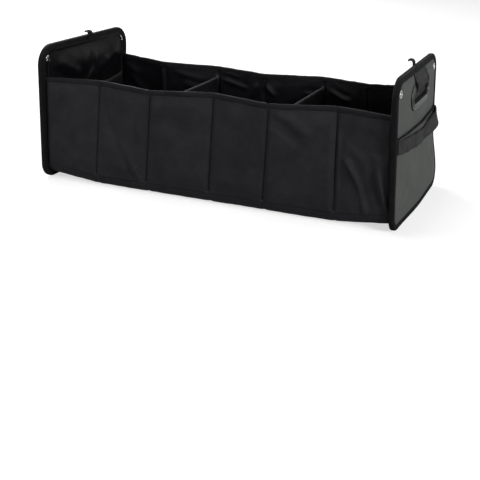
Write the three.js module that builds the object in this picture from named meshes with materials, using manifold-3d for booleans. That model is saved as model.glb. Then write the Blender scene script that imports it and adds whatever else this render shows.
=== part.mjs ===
// An open trunk organizer: two stiff end panels with hand slots, folding cloth walls,
// two dividers and a cloth floor stiffened with boards.
// Millimetres. X runs along the length, Y to the rear and Z up. The origin is the middle of the ground area.

import * as THREE from 'three';
import { mergeVertices } from 'three/addons/utils/BufferGeometryUtils.js';
import Module from 'manifold-3d';

// Overall sizes
const lengthAtGround = 728;
const panelWidth = 320;
const panelHeight = 269;
const leanDegrees = 3;
const wallHeight = 208;
const dividerHeight = 175;
const panelTopRadius = 40;
const panelBottomRadius = 31;

// Cloth, boards and the room between touching pieces
const clearance = 0.3;
const cloth = 1.2;
const panelBoard = 3;
const wallBoard = 2;
const dividerBoard = 2;
const floorBoard = 3;

// Edge binding of the end panels
const bindingWidth = 10.5;
const bindingThickness = 1.5;

// Hand slot with its plastic rim
const slotLength = 122;
const slotHeight = 28;
const slotBelowTop = 52;
const rimWidth = 12;
const rimHeight = 4;
const rimRoll = 1.4;
const collarThickness = 1.5;
const clipWidth = 9;
const clipThickness = 2;

// Cloth wrap over the bar above the slot
const wrapWidth = 92;
const wrapReach = 7;
const wrapStep = 4;

// Eyelets
const eyeletFromSide = 25;
const eyeletBelowTop = 27;
const eyeletHoleRadius = 4.2;
const eyeletBarrel = 0.8;
const eyeletFlangeRadius = 7.2;
const eyeletFlange = 0.9;

// Lining of the end panels, which stands off the board behind the slot
const liningBorder = 20;
const liningBulge = 8;
const liningBulgeHalfWidth = 120;

// Pocket, piping and strap on the outer face
const pocketTop = 161;
const pocketBulge = 7;
const pipingRadius = 1.5;
const strapWidth = 25;
const strapThickness = 1.5;
const strapBelowPocketTop = 2;
const strapSlack = 10.5;
const strapCrease = 15;
const strapFullness = 0.75;

// Closing tab at the top of each end panel
const tabWidth = 17;
const tabThickness = 2.2;
const tabSewn = 9;
const tabRise = 1;
const tabCurl = 6;
const tabTip = 3;

// Flap inside each end panel
const flapTop = 168;
const flapFromWall = 11.2;
const flapStandOff = 2;
const flapGape = 12;

// Folding walls
const segments = 6;
const hemHeight = 9;
const outwardFold = 8;
const boardFromCrease = 4;

// Places of the creases, left to right: how far the top sags, and how far the top and the foot stand
// from even spacing
const frontSag = [0, 0, 2, 0, 2, 0, 2];
const rearSag = [0, 7, 11, 12, 12, 12, 10];
const frontDrift = [0, -2, 8, 9.5, 12, 14, 0];
const rearDrift = [0, 3, 5, 6, 14, -2, 0];
const frontFoot = [0, -4, -10, 6, -3, 16, 0];
const rearFoot = [0, 0, 0, 0, 0, 0, 0];

// Cloth floor, a shallow tray with rounded long edges
const trayHeight = 22;
const floorBoardGap = 3;
const trayEndRoom = 1;

// How finely round shapes are divided
const cornerSteps = 7;
const slotSteps = 9;
const eyeletSteps = 16;
const tubeSides = 8;

// Layers of an end panel, measured outwards from the face of its outer cover
const coverInner = -cloth;
const boardOuter = coverInner - clearance;
const boardInner = boardOuter - panelBoard;
const liningOuter = boardInner - clearance;
const liningInner = liningOuter - cloth;
const bindingInner = liningInner - clearance - bindingThickness;
const bindingOuter = clearance + bindingThickness;
const plyInset = bindingThickness + clearance;
const bindingEdge = bindingWidth + clearance;

// Places that follow from the sizes
const lean = THREE.MathUtils.degToRad(leanDegrees);
const panelLift = -bindingInner * Math.sin(lean);
const slotCentre = panelHeight - slotBelowTop;
const slotTop = slotCentre + slotHeight / 2;
const rimTop = slotTop + rimWidth;
const rimFace = clearance + rimHeight;
const wallLine = panelWidth / 2 - bindingEdge;
const wallThickness = cloth + clearance + wallBoard + clearance + cloth;
const endLift = bindingWidth + panelLift + trayEndRoom;
const floorTop = cloth + clearance + floorBoard + clearance + cloth;
const trayRadius = panelBottomRadius - bindingEdge;
const trayFlat = wallLine - trayRadius;
const flapHalfWidth = wallLine - flapFromWall;
const plyBottom = trayHeight + clearance;
const plyTop = wallHeight - hemHeight - clearance;

// Half the length between the linings of the end panels, at a height above the ground
function innerHalf(height) {
  const inward = (clearance - liningInner) / Math.cos(lean);
  return lengthAtGround / 2 - inward - (height - panelLift) * Math.tan(lean);
}

// The boards keep their length, so the shorter top edge folds in and out by this much
const segmentBelow = 2 * innerHalf(trayHeight) / segments;
const segmentAbove = 2 * innerHalf(wallHeight) / segments;
const foldDepth = Math.sqrt(Math.max(segmentBelow ** 2 - segmentAbove ** 2, 0));
const foldSlope = foldDepth / segmentAbove;

// Materials
function finish(colour, roughness, metalness = 0) {
  return new THREE.MeshStandardMaterial({ color: colour, roughness, metalness });
}

const heather = () => finish(0x5f6462, 0.95);
const blackCloth = () => finish(0x1b1c1e, 0.85);
const blackWebbing = () => finish(0x202122, 0.8);
const blackPlastic = () => finish(0x17181a, 0.4);
const nickel = () => finish(0xb9bbbb, 0.3, 1);
const greyBoard = () => finish(0x8a8172, 0.9);

// Booleans
const wasm = await Module();
wasm.setup();

function toManifold(geometry) {
  const bare = geometry.clone();
  bare.deleteAttribute('normal');
  bare.deleteAttribute('uv');
  const merged = mergeVertices(bare);
  return new wasm.Manifold(new wasm.Mesh({
    numProp: 3,
    vertProperties: new Float32Array(merged.attributes.position.array),
    triVerts: new Uint32Array(merged.index.array),
  }));
}

function fromManifold(solid) {
  const mesh = solid.getMesh();
  const geometry = new THREE.BufferGeometry();
  geometry.setAttribute('position', new THREE.BufferAttribute(mesh.vertProperties, 3));
  geometry.setIndex(new THREE.BufferAttribute(mesh.triVerts, 1));
  geometry.computeVertexNormals();
  return geometry;
}

function cut(geometry, ...tools) {
  const solid = tools.reduce((rest, tool) => rest.subtract(toManifold(tool)), toManifold(geometry));
  return fromManifold(solid);
}

function join(...geometries) {
  const solids = geometries.map(toManifold);
  return fromManifold(solids.reduce((sum, solid) => sum.add(solid)));
}

function keepInside(geometry, tool) {
  return fromManifold(toManifold(geometry).intersect(toManifold(tool)));
}

// Outlines, drawn in the YZ plane as lists of points that never repeat
function arc(y, z, radius, from, to, steps) {
  return Array.from({ length: steps + 1 }, (_, i) => {
    const angle = from + (to - from) * i / steps;
    return new THREE.Vector2(y + radius * Math.cos(angle), z + radius * Math.sin(angle));
  });
}

function panelOutline(inset) {
  const side = panelWidth / 2 - inset;
  const top = panelHeight - inset;
  const topRadius = panelTopRadius - inset;
  const bottomRadius = panelBottomRadius - inset;
  const quarter = Math.PI / 2;
  return [
    ...arc(side - bottomRadius, inset + bottomRadius, bottomRadius, -quarter, 0, cornerSteps),
    ...arc(side - topRadius, top - topRadius, topRadius, 0, quarter, cornerSteps),
    ...arc(topRadius - side, top - topRadius, topRadius, quarter, 2 * quarter, cornerSteps),
    ...arc(bottomRadius - side, inset + bottomRadius, bottomRadius, 2 * quarter, 3 * quarter, cornerSteps),
  ];
}

function stadium(grow) {
  const radius = slotHeight / 2 + grow;
  const straight = (slotLength - slotHeight) / 2;
  const quarter = Math.PI / 2;
  return [
    ...arc(straight, slotCentre, radius, -quarter, quarter, slotSteps),
    ...arc(-straight, slotCentre, radius, quarter, 3 * quarter, slotSteps),
  ];
}

// A strip of cloth seen on edge: its middle line thickened to both sides
function stripOutline(middle, thickness) {
  const sides = [1, -1].map((side) => middle.map((point, i) => {
    const before = middle[Math.max(i - 1, 0)];
    const after = middle[Math.min(i + 1, middle.length - 1)];
    const along = after.clone().sub(before).normalize();
    return new THREE.Vector2(-along.y, along.x).multiplyScalar(side * thickness / 2).add(point);
  }));
  return [...sides[0], ...sides[1].reverse()];
}

// Solids
const shapeToYZ = new THREE.Matrix4().makeBasis(
  new THREE.Vector3(0, 1, 0),
  new THREE.Vector3(0, 0, 1),
  new THREE.Vector3(1, 0, 0),
);

// Extrudes an outline in the YZ plane along X, between two faces
function plate(outline, inner, outer, { holes = [], steps = 1, roll = 0 } = {}) {
  const shape = new THREE.Shape(outline);
  shape.holes = holes.map((hole) => new THREE.Path(hole));
  const geometry = new THREE.ExtrudeGeometry(shape, {
    depth: outer - inner - 2 * roll,
    steps,
    bevelEnabled: roll > 0,
    bevelThickness: roll,
    bevelSize: roll,
    bevelOffset: -roll,
    bevelSegments: 2,
  });
  geometry.applyMatrix4(shapeToYZ);
  geometry.translate(inner + roll, 0, 0);
  return geometry;
}

// Extrudes a strip that is drawn in the XZ plane along Y, centred on the panel's middle
function strip(middle, thickness, width) {
  const shape = new THREE.Shape(stripOutline(middle, thickness));
  const geometry = new THREE.ExtrudeGeometry(shape, { depth: width, bevelEnabled: false });
  geometry.rotateX(Math.PI / 2);
  geometry.translate(0, width / 2, 0);
  return geometry;
}

// A closed sheet over a grid, facing Z. Both faces are divided alike, so that layers which are shaped
// by the same rule stay parallel.
function grid(width, height, thickness, columns, rows) {
  const face = new THREE.PlaneGeometry(width, height, columns, rows);
  const flat = face.attributes.position.array;
  const count = face.attributes.position.count;
  const near = flat.map((value, i) => (i % 3 === 2 ? thickness / 2 : value));
  const far = flat.map((value, i) => (i % 3 === 2 ? -thickness / 2 : value));
  const corner = (column, row) => row * (columns + 1) + column;
  const border = [
    ...Array.from({ length: columns }, (_, i) => corner(i, rows)),
    ...Array.from({ length: rows }, (_, i) => corner(columns, rows - i)),
    ...Array.from({ length: columns }, (_, i) => corner(columns - i, 0)),
    ...Array.from({ length: rows }, (_, i) => corner(0, i)),
  ];
  const rim = border.flatMap((here, i) => {
    const next = border[(i + 1) % border.length];
    return [here + count, next + count, next, here + count, next, here];
  });
  const nearFaces = Array.from(face.index.array);
  const farFaces = nearFaces.map((index) => index + count).reverse();
  const geometry = new THREE.BufferGeometry();
  geometry.setAttribute('position', new THREE.BufferAttribute(new Float32Array([...near, ...far]), 3));
  geometry.setIndex([...nearFaces, ...farFaces, ...rim]);
  return geometry;
}

// A sheet across an end panel, between two heights
function sheet(halfWidth, bottom, top, thickness, columns, rows) {
  const geometry = grid(2 * halfWidth, top - bottom, thickness, columns, rows);
  geometry.applyMatrix4(shapeToYZ);
  geometry.translate(0, 0, (bottom + top) / 2);
  return geometry;
}

// Moves every point of a geometry by a rule
function reshape(geometry, rule) {
  const position = geometry.attributes.position;
  const point = new THREE.Vector3();
  for (let i = 0; i < position.count; i += 1) {
    point.fromBufferAttribute(position, i);
    rule(point);
    position.setXYZ(i, point.x, point.y, point.z);
  }
  geometry.computeVertexNormals();
  return geometry;
}

function piece(name, geometry, material) {
  const mesh = new THREE.Mesh(geometry, material);
  mesh.name = name;
  return mesh;
}

// End panel: a stiff board between cloth layers, in its own frame.
// X points outwards from the outer cover's face, Y lies across the panel and Z is the height in the panel.
const eyeletPlaces = [-1, 1].map((side) => new THREE.Vector2(
  side * (panelWidth / 2 - eyeletFromSide),
  panelHeight - eyeletBelowTop,
));

function eyeletHoles(radius) {
  return eyeletPlaces.map((place) => {
    const points = arc(place.x, place.y, radius, 0, 2 * Math.PI, eyeletSteps);
    return points.slice(0, eyeletSteps);
  });
}

const eyeletHole = eyeletHoleRadius + eyeletBarrel + clearance;
const plyHoles = () => [stadium(collarThickness + clearance), ...eyeletHoles(eyeletHole)];

function board() {
  return plate(panelOutline(plyInset), boardInner, boardOuter, { holes: plyHoles() });
}

function outerCover() {
  return plate(panelOutline(plyInset), coverInner, 0, { holes: plyHoles() });
}

// The lining stands off the board most behind the slot, and lies flat at its border and at the walls
function liningStandOff(y, z) {
  const across = Math.max(1 - (y / liningBulgeHalfWidth) ** 2, 0);
  const down = Math.max(panelHeight - liningBorder - z, 0) / (slotBelowTop - liningBorder);
  return liningBulge * across ** 2 * down ** 2 * Math.exp(2 - 2 * down);
}

function innerLining() {
  const columns = 16;
  const rows = 16;
  const blank = sheet(panelWidth / 2, 0, panelHeight, cloth, columns, rows);
  const bulged = reshape(blank, (point) => {
    point.x += (liningInner + liningOuter) / 2 - liningStandOff(point.y, point.z);
  });
  const reach = liningInner - 2 * liningBulge;
  const trimmed = keepInside(bulged, plate(panelOutline(plyInset), reach, 0));
  return cut(trimmed, ...eyeletHoles(eyeletHole).map((hole) => plate(hole, reach, 0)));
}

function edgeBinding() {
  const ring = plate(panelOutline(0), bindingInner, bindingOuter, { holes: [panelOutline(bindingWidth)] });
  const plies = plate(panelOutline(bindingThickness), liningInner - clearance, clearance);
  return cut(ring, plies);
}

// The rim's flange lies on the cover and its collar lines the slot
function handleRim() {
  const flange = plate(stadium(rimWidth), clearance, rimFace, { holes: [stadium(0)], roll: rimRoll });
  const collarEnd = boardInner - clearance - clipThickness;
  const collarTop = clearance + rimHeight / 2;
  const collar = plate(stadium(collarThickness), collarEnd, collarTop, { holes: [stadium(0)] });
  return join(flange, collar);
}

function handleRimClip() {
  const opening = stadium(collarThickness + clearance);
  const clipFace = boardInner - clearance;
  return plate(stadium(clipWidth), clipFace - clipThickness, clipFace, { holes: [opening] });
}

// The wrap comes down from the binding, steps over the rim and turns into the slot
function handleWrap() {
  const onCover = clearance + cloth / 2;
  const onRim = rimFace + clearance + cloth / 2;
  const underBar = slotTop - clearance - cloth / 2;
  const middle = [
    new THREE.Vector2(onCover, panelHeight - bindingEdge),
    new THREE.Vector2(onCover, rimTop + wrapStep),
    new THREE.Vector2(onRim, rimTop),
    new THREE.Vector2(onRim, slotTop + cloth / 2),
    new THREE.Vector2(onRim - cloth, underBar),
    new THREE.Vector2(onRim - wrapReach, underBar),
  ];
  return strip(middle, cloth, wrapWidth);
}

function eyelet(place) {
  const barrelRadius = eyeletHoleRadius + eyeletBarrel;
  const outerSeat = clearance;
  const innerSeat = liningInner - clearance;
  const profile = [
    [eyeletHoleRadius, innerSeat - eyeletFlange],
    [eyeletFlangeRadius, innerSeat - eyeletFlange],
    [eyeletFlangeRadius, innerSeat],
    [barrelRadius, innerSeat],
    [barrelRadius, outerSeat],
    [eyeletFlangeRadius, outerSeat],
    [eyeletFlangeRadius - eyeletFlange, outerSeat + eyeletFlange],
    [eyeletHoleRadius, outerSeat + eyeletFlange],
    [eyeletHoleRadius, innerSeat - eyeletFlange],
  ].map(([radius, along]) => new THREE.Vector2(radius, along));
  const geometry = new THREE.LatheGeometry(profile, eyeletSteps);
  geometry.rotateZ(-Math.PI / 2);
  geometry.translate(0, place.x, place.y);
  return geometry;
}

// How far the pocket's cloth stands off the cover: nothing at its sewn edges, most in its upper half
function pocketStandOff(y, z) {
  const across = 1 - (y / wallLine) ** 2;
  const up = Math.min((z - bindingEdge) / ((pocketTop - bindingEdge) / 2), 1);
  return pocketBulge * across * Math.sin(up * Math.PI / 2);
}

function outerPocket() {
  const columns = 12;
  const rows = 8;
  const blank = sheet(wallLine, bindingEdge, pocketTop, cloth, columns, rows);
  const bulged = reshape(blank, (point) => {
    point.x += clearance + cloth / 2 + pocketStandOff(point.y, point.z);
  });
  return keepInside(bulged, plate(panelOutline(bindingEdge), 0, cloth + 3 * pocketBulge));
}

function pocketPiping() {
  const steps = 20;
  const height = pocketTop + clearance + pipingRadius;
  const points = Array.from({ length: steps + 1 }, (_, i) => {
    const y = wallLine * (2 * i / steps - 1);
    const overPocket = clearance + cloth / 2 + pocketStandOff(y, pocketTop);
    return new THREE.Vector3(Math.max(overPocket, clearance + pipingRadius), y, height);
  });
  const section = new THREE.Shape(arc(0, 0, pipingRadius, 0, 2 * Math.PI, tubeSides).slice(0, tubeSides));
  return new THREE.ExtrudeGeometry(section, { extrudePath: new THREE.CatmullRomCurve3(points), steps });
}

// The strap is sewn at both ends and at its crease touches the pocket, so its slack stands out in two lobes
function strapMiddle(y) {
  const start = y < strapCrease ? -wallLine : strapCrease;
  const end = y < strapCrease ? strapCrease : wallLine;
  const lobe = Math.sin(Math.PI * (y - start) / (end - start));
  const pocketFace = clearance + cloth + pocketStandOff(y, pocketTop);
  return pocketFace + clearance + strapThickness / 2 + strapSlack * Math.max(lobe, 0) ** strapFullness;
}

function strap() {
  const steps = 36;
  const middle = Array.from({ length: steps + 1 }, (_, i) => {
    const y = wallLine * (2 * i / steps - 1);
    return new THREE.Vector2(strapMiddle(y), y);
  });
  const shape = new THREE.Shape(stripOutline(middle, strapThickness));
  const geometry = new THREE.ExtrudeGeometry(shape, { depth: strapWidth, bevelEnabled: false });
  geometry.translate(0, 0, pocketTop - strapBelowPocketTop - strapWidth);
  return geometry;
}

// The tab is sewn inside the panel's top edge, rises above it and curls over, inwards or outwards
function closingTab(curl) {
  const steps = 5;
  const face = bindingInner - clearance - tabThickness / 2;
  const top = panelHeight + tabRise + tabCurl;
  const bend = arc(0, panelHeight + tabRise, tabCurl, 0, Math.PI / 2, steps).map(
    (point) => new THREE.Vector2(face + curl * (tabCurl - point.x), point.y),
  );
  const middle = [
    new THREE.Vector2(face, panelHeight - tabSewn),
    ...bend,
    new THREE.Vector2(face + curl * (tabCurl + tabTip), top - tabThickness / 2),
  ];
  return strip(middle, tabThickness, tabWidth);
}

// The flap hangs close to the lining at its foot and leans into the compartment at its top
function endFlap() {
  const columns = 10;
  const rows = 5;
  const flapBottom = endLift + floorTop + clearance;
  const blank = sheet(flapHalfWidth, flapBottom, flapTop, cloth, columns, rows);
  return reshape(blank, (point) => {
    const up = (point.z - flapBottom) / (flapTop - flapBottom);
    const across = 1 - (point.y / flapHalfWidth) ** 2;
    point.x += liningInner - flapStandOff - cloth / 2 - flapGape * across * up ** 2;
  });
}

// Both ends are alike but for the curl of their tabs: the left one is the right one turned half round
function endPanel(side, turn, curl) {
  const eyeletNames = turn > 0 ? ['rear_eyelet', 'front_eyelet'] : ['front_eyelet', 'rear_eyelet'];
  const panel = new THREE.Group();
  panel.add(
    piece(`${side}_panel_board`, board(), greyBoard()),
    piece(`${side}_outer_cover`, outerCover(), heather()),
    piece(`${side}_inner_lining`, innerLining(), blackCloth()),
    piece(`${side}_edge_binding`, edgeBinding(), blackWebbing()),
    piece(`${side}_handle_rim`, handleRim(), blackPlastic()),
    piece(`${side}_handle_rim_clip`, handleRimClip(), blackPlastic()),
    piece(`${side}_handle_wrap`, handleWrap(), blackCloth()),
    piece(`${side}_closing_tab`, closingTab(curl), blackWebbing()),
    piece(`${side}_outer_pocket`, outerPocket(), heather()),
    piece(`${side}_pocket_piping`, pocketPiping(), blackCloth()),
    piece(`${side}_strap`, strap(), blackWebbing()),
    piece(`${side}_end_flap`, endFlap(), blackCloth()),
  );
  eyeletPlaces.forEach((place, i) => {
    panel.add(piece(`${side}_${eyeletNames[i]}`, eyelet(place), nickel()));
  });
  panel.position.set(lengthAtGround / 2, 0, panelLift);
  panel.rotation.y = -lean;
  const end = new THREE.Group();
  end.add(panel);
  end.rotation.z = turn;
  return end;
}

// Body: pieces are drawn with X from -1 at the left lining to 1 at the right one, and then stretched to size
function atCrease(values, along) {
  const place = THREE.MathUtils.clamp((along + 1) / 2 * segments, 0, segments);
  const crease = Math.min(Math.floor(place), segments - 1);
  return THREE.MathUtils.lerp(values[crease], values[crease + 1], place - crease);
}

function creaseValues(rule) {
  return Array.from({ length: segments + 1 }, (_, crease) => rule(crease, 2 * crease / segments - 1));
}

// The floor's end segments rise to clear the bindings of the end panels
const liftAt = creaseValues((crease) => (crease === 0 || crease === segments ? endLift : 0));

// From above the wall runs in and out between the creases, and meets the end panels on its own line
const foldAt = creaseValues((crease) => {
  if (crease === 0 || crease === segments) {
    return 0;
  }
  return crease % 2 === 0 ? outwardFold : outwardFold - foldDepth;
});

const rear = { name: 'rear', facing: 1, drift: rearDrift, foot: rearFoot, sag: rearSag };
const front = { name: 'front', facing: -1, drift: frontDrift, foot: frontFoot, sag: frontSag };

function shareUp(height) {
  return (height - trayHeight) / (wallHeight - trayHeight);
}

// Turns a flat wall piece into its folded place
function foldWall(geometry, wall) {
  return reshape(geometry, (point) => {
    const along = point.x;
    const share = shareUp(point.z);
    point.z += (1 - share) * atCrease(liftAt, along) - share * atCrease(wall.sag, along);
    const shift = THREE.MathUtils.lerp(atCrease(wall.foot, along), atCrease(wall.drift, along), share);
    point.x = along * innerHalf(point.z) + shift;
    point.y += wall.facing * (wallLine + share * atCrease(foldAt, along));
  });
}

// A flat wall layer: its depth is measured inwards from the wall's outer face
function wallLayer(wall, depth, thickness, bottom, top, rows) {
  const columns = 2 * segments;
  const geometry = grid(2, top - bottom, thickness, columns, rows);
  geometry.rotateX(Math.PI / 2);
  geometry.translate(0, -wall.facing * (depth + thickness / 2), (bottom + top) / 2);
  return foldWall(geometry, wall);
}

// Where a wall's crease stands at a height
function creaseX(wall, crease, height) {
  const shift = THREE.MathUtils.lerp(wall.foot[crease], wall.drift[crease], shareUp(height));
  return (2 * crease / segments - 1) * innerHalf(height) + shift;
}

// Everything between two creases of a wall, held back a little from each
function betweenCreases(wall, crease) {
  const reach = 2 * panelWidth;
  const corner = (edge, height, side) => {
    return new THREE.Vector2(creaseX(wall, edge, height) + side * boardFromCrease, height);
  };
  const shape = new THREE.Shape([
    corner(crease, 0, 1),
    corner(crease + 1, 0, -1),
    corner(crease + 1, wallHeight, -1),
    corner(crease, wallHeight, 1),
  ]);
  const geometry = new THREE.ExtrudeGeometry(shape, { depth: reach, bevelEnabled: false });
  geometry.rotateX(Math.PI / 2);
  geometry.translate(0, reach / 2, 0);
  return geometry;
}

function wallPieces(wall) {
  const rows = 2;
  const boardDepth = cloth + clearance;
  const liningDepth = boardDepth + wallBoard + clearance;
  const stiffening = wallLayer(wall, boardDepth, wallBoard, plyBottom, plyTop, rows);
  const boards = Array.from({ length: segments }, (_, crease) => piece(
    `${wall.name}_wall_board_${crease + 1}`,
    keepInside(stiffening, betweenCreases(wall, crease)),
    greyBoard(),
  ));
  const outer = wallLayer(wall, 0, cloth, plyBottom, plyTop, rows);
  const lining = wallLayer(wall, liningDepth, cloth, plyBottom, plyTop, rows);
  const hem = wallLayer(wall, 0, wallThickness, wallHeight - hemHeight, wallHeight, 1);
  return [
    piece(`${wall.name}_wall_outer`, outer, blackCloth()),
    piece(`${wall.name}_wall_lining`, lining, blackCloth()),
    piece(`${wall.name}_wall_hem`, hem, blackCloth()),
    ...boards,
  ];
}

// How far towards the rear wall a place lies, from 0 at the front wall to 1
function shareBack(y) {
  return (y + wallLine) / (2 * wallLine);
}

// Lays a flat floor piece between the ends, over the lifted end segments
function layFloor(geometry) {
  return reshape(geometry, (point) => {
    const along = point.x;
    const frontShift = atCrease(front.foot, along);
    point.z += atCrease(liftAt, along);
    point.x = along * innerHalf(point.z);
    point.x += THREE.MathUtils.lerp(frontShift, atCrease(rear.foot, along), shareBack(point.y));
  });
}

function floorTray() {
  const quarter = Math.PI / 2;
  const section = (inset) => [
    new THREE.Vector2(-wallLine + inset, trayHeight),
    ...arc(-trayFlat, trayRadius, trayRadius - inset, 2 * quarter, 3 * quarter, cornerSteps),
    ...arc(trayFlat, trayRadius, trayRadius - inset, -quarter, 0, cornerSteps),
    new THREE.Vector2(wallLine - inset, trayHeight),
  ];
  return layFloor(plate([...section(0), ...section(cloth).reverse()], -1, 1, { steps: segments }));
}

function floorSlab(halfWidth, bottom, thickness, from, to, steps) {
  const geometry = new THREE.BoxGeometry(to - from, 2 * halfWidth, thickness, steps, 1, 1);
  geometry.translate((from + to) / 2, 0, bottom + thickness / 2);
  return layFloor(geometry);
}

function floorPieces() {
  const boardBottom = cloth + clearance;
  const gap = floorBoardGap / innerHalf(0);
  const boards = Array.from({ length: segments }, (_, crease) => {
    const from = 2 * crease / segments - 1 + gap;
    const to = 2 * (crease + 1) / segments - 1 - gap;
    const slab = floorSlab(trayFlat, boardBottom, floorBoard, from, to, 1);
    return piece(`floor_board_${crease + 1}`, slab, greyBoard());
  });
  const liningBottom = boardBottom + floorBoard + clearance;
  const lining = floorSlab(trayFlat + trayRadius / 2, liningBottom, cloth, -1, 1, segments);
  return [
    piece('floor_tray', floorTray(), blackCloth()),
    piece('floor_lining', lining, blackCloth()),
    ...boards,
  ];
}

// A divider runs from the front wall to the rear wall, between two creases that point outwards
function dividerPieces(name, crease) {
  const thickness = 2 * (cloth + clearance) + dividerBoard;
  const room = wallThickness + clearance + foldSlope * thickness / 2;
  const bottom = floorTop + clearance;
  const cornerRadius = trayRadius - cloth - clearance - (bottom - cloth);
  const outline = (inset, foot) => {
    const low = wallLine - room - inset;
    const high = low + shareUp(dividerHeight) * outwardFold;
    return [
      new THREE.Vector2(-high, dividerHeight - inset),
      new THREE.Vector2(-low, trayHeight),
      new THREE.Vector2(-low + cornerRadius, foot),
      new THREE.Vector2(low - cornerRadius, foot),
      new THREE.Vector2(low, trayHeight),
      new THREE.Vector2(high, dividerHeight - inset),
    ];
  };
  const stand = (geometry) => reshape(geometry, (point) => {
    const frontX = creaseX(front, crease, point.z);
    point.x += THREE.MathUtils.lerp(frontX, creaseX(rear, crease, point.z), shareBack(point.y));
  });
  const pocketHalf = dividerBoard / 2 + clearance;
  const pocket = plate(outline(cloth, bottom - cloth), -pocketHalf, pocketHalf);
  const slab = plate(outline(0, bottom), -thickness / 2, thickness / 2);
  const stiffener = plate(outline(cloth + clearance, bottom), -dividerBoard / 2, dividerBoard / 2);
  return [
    piece(`${name}_divider`, stand(cut(slab, pocket)), blackCloth()),
    piece(`${name}_divider_board`, stand(stiffener), greyBoard()),
  ];
}

const organizer = new THREE.Group();
organizer.add(
  endPanel('left', Math.PI, 1),
  endPanel('right', 0, -1),
  ...wallPieces(front),
  ...wallPieces(rear),
  ...floorPieces(),
  ...dividerPieces('left', 2),
  ...dividerPieces('right', 4),
);

export default organizer;
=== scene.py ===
"""Looks of an open trunk organizer: grey heather end panels, black folding cloth walls,
two dividers, a cloth floor and webbing trims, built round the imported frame.

All shapes are worked out in millimetres as whole numpy arrays and put into meshes in metres.
X runs along the length, Y to the rear, Z up. An end panel has its own frame: x outwards from the
cover's face, y across the panel, z the height in the panel.
"""
import math

import bpy
import numpy as np
from mathutils import Matrix


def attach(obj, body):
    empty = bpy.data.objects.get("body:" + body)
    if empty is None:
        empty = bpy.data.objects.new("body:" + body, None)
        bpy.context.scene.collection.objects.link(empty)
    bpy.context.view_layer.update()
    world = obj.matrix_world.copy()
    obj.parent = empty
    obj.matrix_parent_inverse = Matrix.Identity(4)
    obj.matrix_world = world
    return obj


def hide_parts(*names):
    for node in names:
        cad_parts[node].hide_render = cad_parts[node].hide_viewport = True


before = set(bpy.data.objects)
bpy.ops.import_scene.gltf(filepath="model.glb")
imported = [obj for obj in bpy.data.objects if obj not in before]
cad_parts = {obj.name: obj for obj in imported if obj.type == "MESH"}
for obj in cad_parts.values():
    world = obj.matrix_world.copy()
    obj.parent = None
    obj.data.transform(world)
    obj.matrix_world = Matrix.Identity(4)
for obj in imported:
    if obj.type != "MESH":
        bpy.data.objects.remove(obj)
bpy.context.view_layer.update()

# Sizes of the part, in millimetres, as its source has them
LENGTH, WIDTH, HEIGHT = 728.0, 320.0, 269.0
LEAN = math.radians(3)
TOP_RADIUS, BOTTOM_RADIUS = 40.0, 31.0
WALL_HEIGHT, TRAY_HEIGHT = 208.0, 22.0
WALL_LINE, TRAY_RADIUS = 149.2, 20.2
CLOTH, CLEAR = 1.2, 0.3
LINING_INNER, BINDING_INNER = -6.0, -7.8
PANEL_LIFT = -BINDING_INNER * math.sin(LEAN)
SLOT_CENTRE, SLOT_RADIUS, SLOT_STRAIGHT = 218.5, 12.5, 47.0
EYELET_Y, EYELET_Z = WIDTH / 2 - 25, HEIGHT - 27
POCKET_TOP, BINDING_EDGE = 161.0, 10.8
WALL_LINING, FLOOR_TOP, END_LIFT = 3.8, 6.0, 11.91
SEGMENT = 118.0

ROUND = 2 * math.pi
OUT = np.array([1.0, 0, 0])
STITCH_PITCH, STITCH_LENGTH = 3.2, 2.4


# Numbers


def ripples(u, v, seed, size, layers=5):
    """Smooth unevenness between about -1 and 1: sine waves in seeded directions, each shorter and
    lower than the one before; size is the longest in millimetres."""
    draw = np.random.default_rng(seed)
    total, weight = np.zeros(np.broadcast(u, v).shape), 0.0
    for layer in range(layers):
        turn, phase, other = draw.uniform(0, ROUND, 3)
        wave = size / 1.55**layer
        along = (u * np.cos(turn) + v * np.sin(turn)) / wave * ROUND
        across = (u * np.sin(turn) - v * np.cos(turn)) / (1.7 * wave) * ROUND
        total = total + np.sin(along + phase + 1.2 * np.sin(across + other)) / 1.35**layer
        weight += 1 / 1.35**layer
    return total / weight * 1.6


def bell(distance, width):
    """The bell curve."""
    return np.exp(-((distance / width) ** 2))


def step(value, low, high):
    """The smooth step from 0 at low to 1 at high."""
    t = np.clip((value - low) / (high - low), 0, 1)
    return t * t * (3 - 2 * t)


def wrinkle(x, z, start_x, start_z, end_x, end_z, height, width, bow):
    """A ridge, or with a negative height a valley, along a line that may bow sideways."""
    dx, dz = end_x - start_x, end_z - start_z
    long = math.hypot(dx, dz)
    t = ((x - start_x) * dx + (z - start_z) * dz) / long**2
    side = ((x - start_x) * dz - (z - start_z) * dx) / long - bow * 4 * t * (1 - t)
    ends = step(t, -0.1, 0.25) * step(1.1 - t, 0, 0.35)
    return height * bell(side, width) * ends


def rounded(profile, times=2, closed=True):
    """Rounds a profile by cutting its corners at a quarter of its sides."""
    points = np.asarray(profile, float)
    for _ in range(times):
        after = np.roll(points, -1, 0)
        cut = np.stack([0.75 * points + 0.25 * after, 0.25 * points + 0.75 * after], 1)
        inner = (cut if closed else cut[:-1]).reshape(-1, 2)
        points = inner if closed else np.concatenate([points[:1], inner, points[-1:]])
    return points


def lengths(points):
    """Running length along a line of points."""
    return np.concatenate([[0], np.cumsum(np.linalg.norm(np.diff(points, axis=0), axis=1))])


def evenly(points, count):
    """Points at even steps along a line."""
    run = lengths(points)
    at = np.linspace(0, run[-1], count)
    return np.stack([np.interp(at, run, points[:, i]) for i in range(points.shape[1])], 1)


def unit(vectors):
    """Vectors made one long."""
    return vectors / np.maximum(np.linalg.norm(vectors, axis=-1, keepdims=True), 1e-9)


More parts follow.
